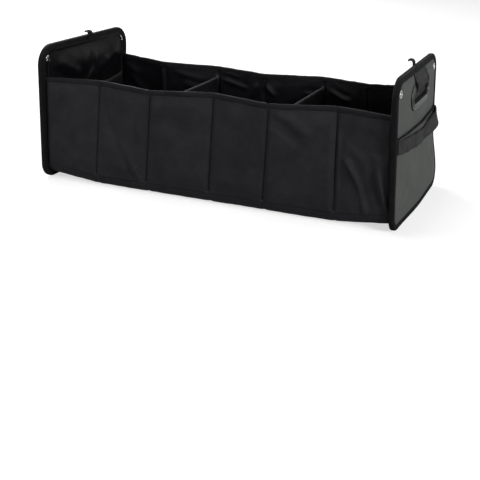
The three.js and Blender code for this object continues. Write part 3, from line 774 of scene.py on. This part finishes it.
def tab(side, curl):
    """The closing tab: webbing sewn inside the panel's top edge, a little to the rear, that curls
    over to a doubled tip, outwards with a curl of 1 or inwards with -1."""
    face_x = BINDING_INNER - CLEAR - 1.1
    bend = circle(0, math.pi / 2, 12)
    arc = np.stack([face_x + curl * 6 * (1 - bend[:, 0]), HEIGHT + 1 + 6 * bend[:, 1]], 1)
    path = evenly(np.concatenate([[(face_x, HEIGHT - 9)], arc, [(face_x + curl * 9, HEIGHT + 5.9)]]), 44)
    y, at = np.meshgrid(np.linspace(-8.5, 8.5, 13), np.arange(44))
    middle = 7 if side == "right" else -10
    thick = (1.1 + 0.7 * step(at, 36, 39)) * np.sqrt(np.maximum(1 - (np.abs(y) / 8.8) ** 8, 0.1))

    def layer(off):
        x, z = off_path(path, sideways(path), at, off)
        return placed(x, y + middle, z)

    at_end(side, "tab", "webbing", "closing_tab", (layer(-thick), layer(thick)), BINDING)


def flap(side, seed):
    """The inner flap of an end compartment, leaning inwards to a taped top edge that sags."""
    low, high, half = FLOOR_TOP + END_LIFT + CLEAR, 168, 138
    y, z = np.meshgrid(np.linspace(-half, half, 80), np.linspace(low, high, 44))
    up = (z - low) / (high - low)
    lean = (1 - (y / half) ** 2) * up**2
    wave = ripples(y, z, seed, 130) * 1.6 * up
    face = placed(LINING_INNER - 3.2 - 12 * lean - np.maximum(wave, -0.8), y, z - 3 * lean)
    back = face + CLOTH * OUT
    piece = at_end(side, "flap", "black_cloth", "end_flap", (face, back), LINING_CLOTH)
    section = rounded([(-1.25, -3), (-1.3, 2.2), (-0.8, 3.2), (0.8, 3.2), (1.3, 2.2), (1.25, -3)], 1)
    points = (face[-1] + back[-1])[:, None] / 2 + np.array([0, 0, -2.4]) + np.insert(section, 1, 0, 1)
    at_end(side, "flap_tape", "black_cloth", "", [points], WRAP_CLOTH, False)


# Walls


LIFT = np.array([END_LIFT, 0, 0, 0, 0, 0, END_LIFT])
CREASES = np.linspace(-1, 1, 7)
HALF = 355.0


def inner_half(height):
    """Half the length between the end panels' linings, at a height above the ground."""
    return LENGTH / 2 - (CLEAR - LINING_INNER) / math.cos(LEAN) - (height - PANEL_LIFT) * math.tan(LEAN)


FOLD_DEPTH = math.sqrt((inner_half(TRAY_HEIGHT) / 3) ** 2 - (inner_half(WALL_HEIGHT) / 3) ** 2)
FOLD = np.array([0, 8 - FOLD_DEPTH, 8, 8 - FOLD_DEPTH, 8, 8 - FOLD_DEPTH, 0])
FRONT_FOOT = np.array([0, -4, -10, 6, -3, 16, 0])
WALLS = {  # facing, then for each crease the top's sag, the top's shift along the wall and the foot's
    "front": (-1, np.array([0, 0, 2, 0, 2, 0, 2]), np.array([0, -2, 8, 9.5, 12, 14, 0]), FRONT_FOOT),
    "rear": (1, np.array([0, 7, 11, 12, 12, 12, 10]), np.array([0, 3, 5, 6, 14, -2, 0]), 0 * FRONT_FOOT),
}


def between(values, along, soft=5.0):
    """The straight-line value between creases, averaged over a short length."""
    shifts = np.linspace(-soft, soft, 5) / HALF
    return sum(np.interp(along + shift, CREASES, values) for shift in shifts) / 5


def far_bow(along, y, z):
    """How far a wall or the floor follows the right end's bow, over its last segment."""
    return step(along, 0.72, 1) * end_bow("right", y, z)


def on_wall(wall, along, z, depth):
    """A place on a folding wall: along runs from -1 at the left end to 1, z is the height before
    the ends lift and the top sags, and depth is measured inwards."""
    facing, sag, drift, foot = WALLS[wall]
    share = (z - TRAY_HEIGHT) / (WALL_HEIGHT - TRAY_HEIGHT)
    up = z + (1 - share) * between(LIFT, along) - share * between(sag, along)
    x = along * inner_half(up) + share * between(drift, along) + (1 - share) * between(foot, along)
    y = facing * (WALL_LINE + share * between(FOLD, along) - depth)
    return placed(x + far_bow(along, y, up), y, up)


def wall_columns(per_segment):
    """Places along a wall, closer together towards the creases."""
    t = np.arange(per_segment) / per_segment
    t = 0.72 * (0.5 - 0.5 * np.cos(math.pi * t)) + 0.28 * t
    along = (np.arange(6)[:, None] + t[None]).ravel() / 3 - 1
    return np.append(along, 1.0)


def from_crease(along):
    """Distance from the nearest crease in millimetres."""
    q = (along + 1) * 3
    return np.abs(q - np.round(q)) * SEGMENT


FRONT_WRINKLES = [  # start x and z, end x and z, height, width, bow
    (-228, 150, -134, 10, -4.5, 9, -5), (-204, 120, -128, 14, 4.2, 10, -4),
    (-170, 60, -132, 14, -2.2, 5, 0), (-150, 58, -127, 18, 2.4, 5, 0),
    (118, 182, 176, 138, -5.0, 7, -3), (134, 192, 196, 150, 4.2, 9, -3),
    (124, 200, 126, 160, -1.8, 5, 0), (238, 176, 240, 60, 2.6, 7, 0),
    (262, 180, 340, 130, -7.0, 17, 4), (256, 122, 304, 14, 8.0, 6, -12),
    (272, 124, 306, 30, -8.0, 8, -7), (326, 110, 350, 30, 6.0, 6, 3),
    (308, 120, 340, 24, -4.0, 6, 3), (298, 150, 334, 124, 4.0, 9, 2),
    (-227, 200, -227, 20, -3.4, 8, 0), (227, 196, 227, 20, 1.4, 5, 0),
    (248, 196, 250, 20, -1.8, 8, 0), (-94, 165, -40, 124, -2.0, 14, 3),
    (-330, 80, -270, 40, 1.8, 13, 4), (60, 150, 100, 90, 1.8, 14, 3),
]
REAR_WRINKLES = [
    (-108, 190, -42, 177, -5.0, 4.5, -2), (-102, 180, -40, 168, 4.0, 5, -2),
    (-104, 196, -60, 190, 2.6, 3.5, -1), (84, 179, 128, 178, -4.6, 4, 3),
    (84, 172, 128, 170, 3.4, 4, 3), (138, 190, 192, 173, -5.0, 4.5, 2),
    (142, 181, 190, 164, 3.8, 5, 2), (4, 184, 26, 158, 5.0, 4.5, 1),
    (-14, 184, -30, 150, 3.4, 6, 1), (-242, 196, -240, 130, 3.2, 4, 0),
    (-231, 192, -229, 120, -3.0, 4, 0), (217, 190, 219, 130, -3.6, 5, 0),
    (236, 186, 240, 130, 3.2, 6, 0), (-330, 170, -280, 120, 3.2, 10, 4),
    (300, 170, 330, 110, 2.8, 9, 3), (-200, 170, -140, 150, 3.0, 9, 3),
    (-215, 190, -150, 176, 2.6, 6, 2), (-350, 190, -300, 170, 2.4, 7, 2),
]


def relief(along, z, seed, wrinkles, puff, groove):
    """How far a wall's cloth stands out: a low swell on each board, a groove sewn in at each
    crease, unevenness and wrinkles."""
    gap = from_crease(along)
    place = (along + 1) * 6 % 2 - 1
    x = along * HALF
    inside = step(z, 20, 48) * step(201 - z, 0, 26)
    swell = 0.5 + puff * (1 - place**4) * inside
    uneven = 1.0 * ripples(x, z, seed, 170, 2) + 0.25 * ripples(x, z, seed + 1, 60, 2)
    marks = sum(wrinkle(x, z, *line) for line in wrinkles)
    raised = swell + step(gap, 2, 16) * inside * uneven + marks * step(gap, 0, 6) * step(201 - z, 0, 12)
    edge = 0.15 * groove * bell(gap - 9, 4) - 1.35 * groove * bell(gap, 4.0)
    floor = 0.45 - 3.0 * bell(gap, 3.2)
    return np.maximum(raised + edge * step(204 - z, 0, 10), floor)


def wall_skin(wall, skin, seed, wrinkles, puff, groove, material):
    """One skin of a folding wall, the outer one or the lining."""
    along, z = np.meshgrid(wall_columns(46), np.linspace(20.5, 200.5, 62))
    up = relief(along, z, seed, wrinkles, puff, groove)
    depths = (-up, CLOTH - up) if skin == "outer" else (WALL_LINING + CLOTH + up, WALL_LINING + up)
    piece = shell(f"{wall}_{skin}_cloth", *(on_wall(wall, along, z, depth) for depth in depths), material)
    shown(piece, "black_cloth", f"{wall}_wall_{skin}")


def hem(wall, seed):
    """The cloth folded over a wall's top edge, slightly wavy."""
    along = wall_columns(30)
    depth, z = rounded([
        (-0.9, 198.4), (-1.2, 202), (-0.6, 206), (1.2, 208.4), (3.8, 208.4), (5.5, 206.5), (5.9, 202),
        (5.6, 198.4), (3.0, 199.4),
    ], 1).T[:, None]
    a, x = along[:, None], along[:, None] * HALF
    wave = 0.35 * ripples(x, 0 * z, seed, 55) + 0.2 * ripples(x, 0 * z, seed + 1, 17)
    pinch = 0.8 * bell(from_crease(a), 2.5) * np.sign(depth - 2.5)
    points = on_wall(wall, a + 0 * z, z + wave, depth + 0.3 * ripples(x, z, seed + 2, 26) - pinch)
    # The hem takes the darker copy of the wall cloth: painted shade.
    shown(tube(f"{wall}_hem_fold", points, SHADED_HEM_CLOTH, ring=False), "binding_tape", f"{wall}_wall_hem")
    lines = []
    for depth_at, way in ((-0.85, WALLS[wall][0]), (5.85, -WALLS[wall][0])):
        lines.append((on_wall(wall, along, 200.8 + 0 * along, depth_at), (0, way, 0)))
    shown(stitching(f"{wall}_hem_thread", lines, THREAD), "binding_tape")


def crease_thread(wall):
    """Thread down both sides of each crease, on both skins, where the boards are sewn in."""
    facing, z = WALLS[wall][0], np.linspace(26, 197, 60)
    lines = []
    for crease in range(1, 6):
        for shift in (-2.6, 2.6):
            along = np.full_like(z, crease / 3 - 1 + shift / HALF)
            lines.append((on_wall(wall, along, z, 0.55), (0, facing, 0)))
            lines.append((on_wall(wall, along, z, 4.45), (0, -facing, 0)))
    shown(stitching(f"{wall}_crease_thread", lines, THREAD, radius=0.2), "black_cloth")


# Floor


def on_floor(along, y, up):
    """A place on the floor, whose ends rise to clear the bindings and whose folds run from the
    front wall's creases to the rear wall's."""
    z = up + between(LIFT, along, 3.0)
    front_share = (WALL_LINE - y) / (2 * WALL_LINE)
    x = along * inner_half(z) + front_share * between(FRONT_FOOT, along, 3.0)
    return placed(x + far_bow(along, y, z), y, z)


def tray():
    """The cloth floor: a U section carried along the length, pinched at each fold."""
    left = (-WALL_LINE, 0) + TRAY_RADIUS * (np.array([1, 1]) - circle(0, math.pi / 2, 12))
    flat = np.stack([np.linspace(-129, 129, 42)[1:-1], np.zeros(40)], 1)
    right = left[::-1] * np.array([-1, 1])
    section = np.concatenate([[(-WALL_LINE, 24.0)], left, flat, right, [(WALL_LINE, 24.0)]])
    a, k = np.meshgrid(wall_columns(20), np.arange(len(section)))
    gap = from_crease(a)
    sag = 0.7 * ripples(a * HALF, section[k, 0], 71, 90) * step(section[k, 1], 22, 8) * step(gap, 0, 20)
    pinch = 1.2 * bell(gap, 4) * step(np.abs(section[k, 0]), 120, 140)

    def layer(off, lowest):
        y, z = off_path(section, sideways(section), k, off + sag * 0.6 + pinch)
        return on_floor(a, y, np.maximum(z, lowest))

    piece = shell("cloth_tray", layer(-0.2, 0.0), layer(CLOTH, CLOTH), WALL_CLOTH)
    shown(piece, "black_cloth", "floor_tray")
    lines = []
    for wall in WALLS:
        line = on_wall(wall, wall_columns(20), np.full(121, 20.2), -0.35)
        lines.append((line, (0, WALLS[wall][0], 0)))
    shown(stitching("tray_seam_thread", lines, THREAD), "black_cloth")


def floor_lining():
    """The floor's lining: lies on the boards, sunk a little at each fold."""
    y, a = np.meshgrid(np.linspace(-138.5, 138.5, 60), wall_columns(22))
    gap = from_crease(a)
    up = FLOOR_TOP + 0.35 * (1 + ripples(a * HALF, y, 91, 80)) * step(gap, 0, 12) - 0.7 * bell(gap, 3)
    piece = shell("floor_cloth", on_floor(a, y, up), on_floor(a, y, up - CLOTH), LINING_CLOTH)
    shown(piece, "black_cloth", "floor_lining")


# Dividers


def divider(name, crease, seed):
    """A divider from the front wall's crease to the rear wall's: a board, a cloth folded over it, a
    tape over the top edge and a small patch sewn to each wall above its end."""
    low = WALL_LINE - (5.0 + CLEAR + 0.242 * 2.5) - 0.3
    lowest, highest, radius, thick = 6.4, 172.5, 13.6, 2.5
    bend = circle(0, math.pi, 9)
    path = np.concatenate([
        np.stack([np.full(40, thick), np.linspace(lowest, highest, 40)], 1),
        (np.array([0, highest]) + thick * bend)[1:-1],
        np.stack([np.full(40, -thick), np.linspace(highest, lowest, 40)], 1),
    ])

    def stand(x, s, z):
        """Puts a place between the two walls' creases: s runs from -1 at the front to 1."""
        share = (z - TRAY_HEIGHT) / (WALL_HEIGHT - TRAY_HEIGHT)
        below = radius * (TRAY_HEIGHT - z) / (TRAY_HEIGHT - lowest)
        y = s * np.where(z > TRAY_HEIGHT, low + share * 8, low - below)
        front, rear = (share * top[crease] + (1 - share) * foot[crease] for *_, top, foot in WALLS.values())
        across = (y + WALL_LINE) / (2 * WALL_LINE)
        return placed(x + (crease / 3 - 1) * inner_half(z) + front + (rear - front) * across, y, z)

    s, z = np.meshgrid(np.linspace(-0.985, 0.985, 30), np.linspace(24, 172.4, 12))
    board = shell(f"{name}_divider_stiffener", stand(1, s, z), stand(-1, s, z), BOARD)
    shown(board, "board", f"{name}_divider_board")
    s, k = np.meshgrid(np.linspace(-1, 1, 62), np.arange(len(path)))
    uneven = 0.6 * ripples(s * 140, path[k, 1] + 40 * np.sign(path[k, 0]), seed, 90)
    uneven = np.maximum(uneven * step(path[k, 1], 170, 150) * step(1 - np.abs(s), 0, 0.15), -0.2)

    def layer(off):
        x, z = off_path(path, -sideways(path), k, off + uneven)
        return stand(x, s, z)

    piece = shell(f"{name}_divider_sleeve", layer(0), layer(-CLOTH), LINING_CLOTH)
    shown(piece, "black_cloth", f"{name}_divider")
    half = [(2.6, 172.6), (2.75, 173.6), (2.2, 175), (1.0, 176)]
    section = rounded(half + [(-x, z) for x, z in reversed(half)], 1)
    s, k = np.meshgrid(np.linspace(-1, 1, 60), np.arange(len(section)), indexing="ij")
    wave = 0.5 * ripples(s * 140, 0 * s, seed + 2, 70)
    points = stand(section[k, 0], s, section[k, 1] + wave)
    shown(tube(f"{name}_divider_tape", points, WEBBING, ring=False), "webbing")
    for wall in WALLS:
        along, z = np.meshgrid(crease / 3 - 1 + np.linspace(-4.5, 2.5, 8) / HALF, np.linspace(173, 188, 8))
        grids = (on_wall(wall, along, z, depth) for depth in (6.8, 5.6))
        shown(shell(f"{name}_{wall}_join_patch", *grids, WEBBING), "webbing")


# Floor of the studio, lights and camera


WHITE = (1, 1, 1, 1)


def studio_floor():
    """A pale floor that keeps the shadow and glows a little, only where the camera sees it."""
    material = bpy.data.materials.new("studio_floor")
    tree = Nodes(material)
    tree.nodes.clear()
    seen = tree.add("ShaderNodeLightPath").outputs["Is Camera Ray"]
    matt = tree.add("ShaderNodeBsdfDiffuse", {"Color": (0.55, 0.55, 0.55, 1)})
    glow = tree.add("ShaderNodeEmission", {"Color": WHITE, "Strength": tree.math("MULTIPLY", seen, 0.62)})
    both = tree.add("ShaderNodeAddShader", {0: matt.outputs[0], 1: glow.outputs[0]})
    tree.add("ShaderNodeOutputMaterial", {"Surface": both.outputs[0]})
    reach, under = 6.0, -0.0005
    mesh = bpy.data.meshes.new("studio_floor")
    corners = [(-reach, -reach, under), (reach, -reach, under), (reach, reach, under), (-reach, reach, under)]
    mesh.from_pydata(corners, [], [(0, 1, 2, 3)])
    mesh.materials.append(material)
    linked("studio_floor", mesh)


def surround():
    """A plain white surround, which lights the cloth much less than the camera sees."""
    world = bpy.data.worlds.new("studio")
    bpy.context.scene.world = world
    tree = Nodes(world)
    tree.nodes.clear()
    rays = tree.add("ShaderNodeLightPath").outputs
    seen = tree.math("MAXIMUM", rays["Is Camera Ray"], rays["Is Glossy Ray"])
    seen = tree.math("MAXIMUM", seen, rays["Is Transmission Ray"])
    dim, full = (tree.add("ShaderNodeBackground", {"Color": WHITE, "Strength": power}) for power in (0.14, 1.0))
    mix = tree.add("ShaderNodeMixShader", {0: seen, 1: dim.outputs[0], 2: full.outputs[0]})
    tree.add("ShaderNodeOutputWorld", {"Surface": mix.outputs[0]})


def put(name, data, right, up, back, place):
    """Puts a lamp or a camera at a place in metres, with its own three directions."""
    thing = linked(name, data)
    thing.matrix_world = Matrix([*map(tuple, np.stack([right, up, back, place], 1)), (0, 0, 0, 1)])
    return thing


def lamps():
    """A soft overhead light, large lights at the right and at the rear left, and a small one at the
    front left."""
    for name, size, power, place, aim in (
        ("overhead", (1.6, 1.2), 24.0, (-0.5, 0.1, 2.1), (0, 0, 0.1)),
        ("right", (0.9, 0.9), 104.0, (3.2, -1.7, 1.6), (0, 0, 0.12)),
        ("front_left", (0.5, 0.5), 2.6, (-0.95, -1.0, 0.6), (-0.3, -0.1, 0.1)),
        ("rear_left", (1.2, 1.2), 90.0, (-2.6, 2.4, 1.5), (0, 0, 0.12)),
    ):
        light = bpy.data.lights.new(name, "AREA")
        light.shape = "RECTANGLE"
        light.size, light.size_y = size
        light.energy = power
        back = unit(np.subtract(place, aim))
        right = unit(np.cross((0, 0, 1), back))
        put(name, light, right, np.cross(back, right), back, place)


def camera():
    """The photograph's view: a direction from yaw and pitch, a small roll, and a distance."""
    yaw, pitch, roll = -0.408222, 0.397629, 0.010656
    distance, right_by, up_by = 1696.56, 7.064, -122.615
    focal, picture, sensor = 826.22, 480, 36
    look = np.array([math.sin(yaw) * math.cos(pitch), math.cos(yaw) * math.cos(pitch), -math.sin(pitch)])
    level = np.array([math.cos(yaw), -math.sin(yaw), 0])
    upright = np.cross(level, look)
    right = math.cos(roll) * level + math.sin(roll) * upright
    up = -math.sin(roll) * level + math.cos(roll) * upright
    data = bpy.data.cameras.new("camera")
    data.sensor_width = sensor
    data.lens = focal * sensor / picture
    place = (-distance * look + right_by * right + up_by * up) / 1000
    bpy.context.scene.camera = put("camera", data, right, up, -look, place)


# Everything together


camera()
studio_floor()
surround()
lamps()
for side, seed, turn in (("left", 11, -1), ("right", 31, 1)):
    cover(side, seed)
    panel_board(side)
    lining_border(side)
    end_lining(side, seed + 2)
    slot_backing(side, seed + 3)
    binding(side, seed + 4)
    slot_rim(side)
    wrap(side, seed + 6)
    eyelet(side, turn, "rear")
    eyelet(side, -turn, "front")
    piping(side, pocket(side, seed + 8))
    strap(side, seed + 10)
    tab(side, -turn)
    flap(side, seed + 12)
for wall, seed, outer, inner in (("front", 51, FRONT_WRINKLES, []), ("rear", 61, [], REAR_WRINKLES)):
    wall_skin(wall, "outer", seed, outer, 2.8, 2.2, WALL_CLOTH)
    wall_skin(wall, "lining", seed + 3, inner, 2.2, 1.9, LINING_CLOTH)
    hem(wall, seed + 5)
    crease_thread(wall)
tray()
floor_lining()
divider("left", 2, 81)
divider("right", 4, 85)

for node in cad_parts.values():  # what still shows of the part is its wall and floor boards
    if not node.hide_render:
        node.data.materials.clear()
        node.data.materials.append(BOARD)

bpy.context.scene.view_settings.view_transform = "Standard"
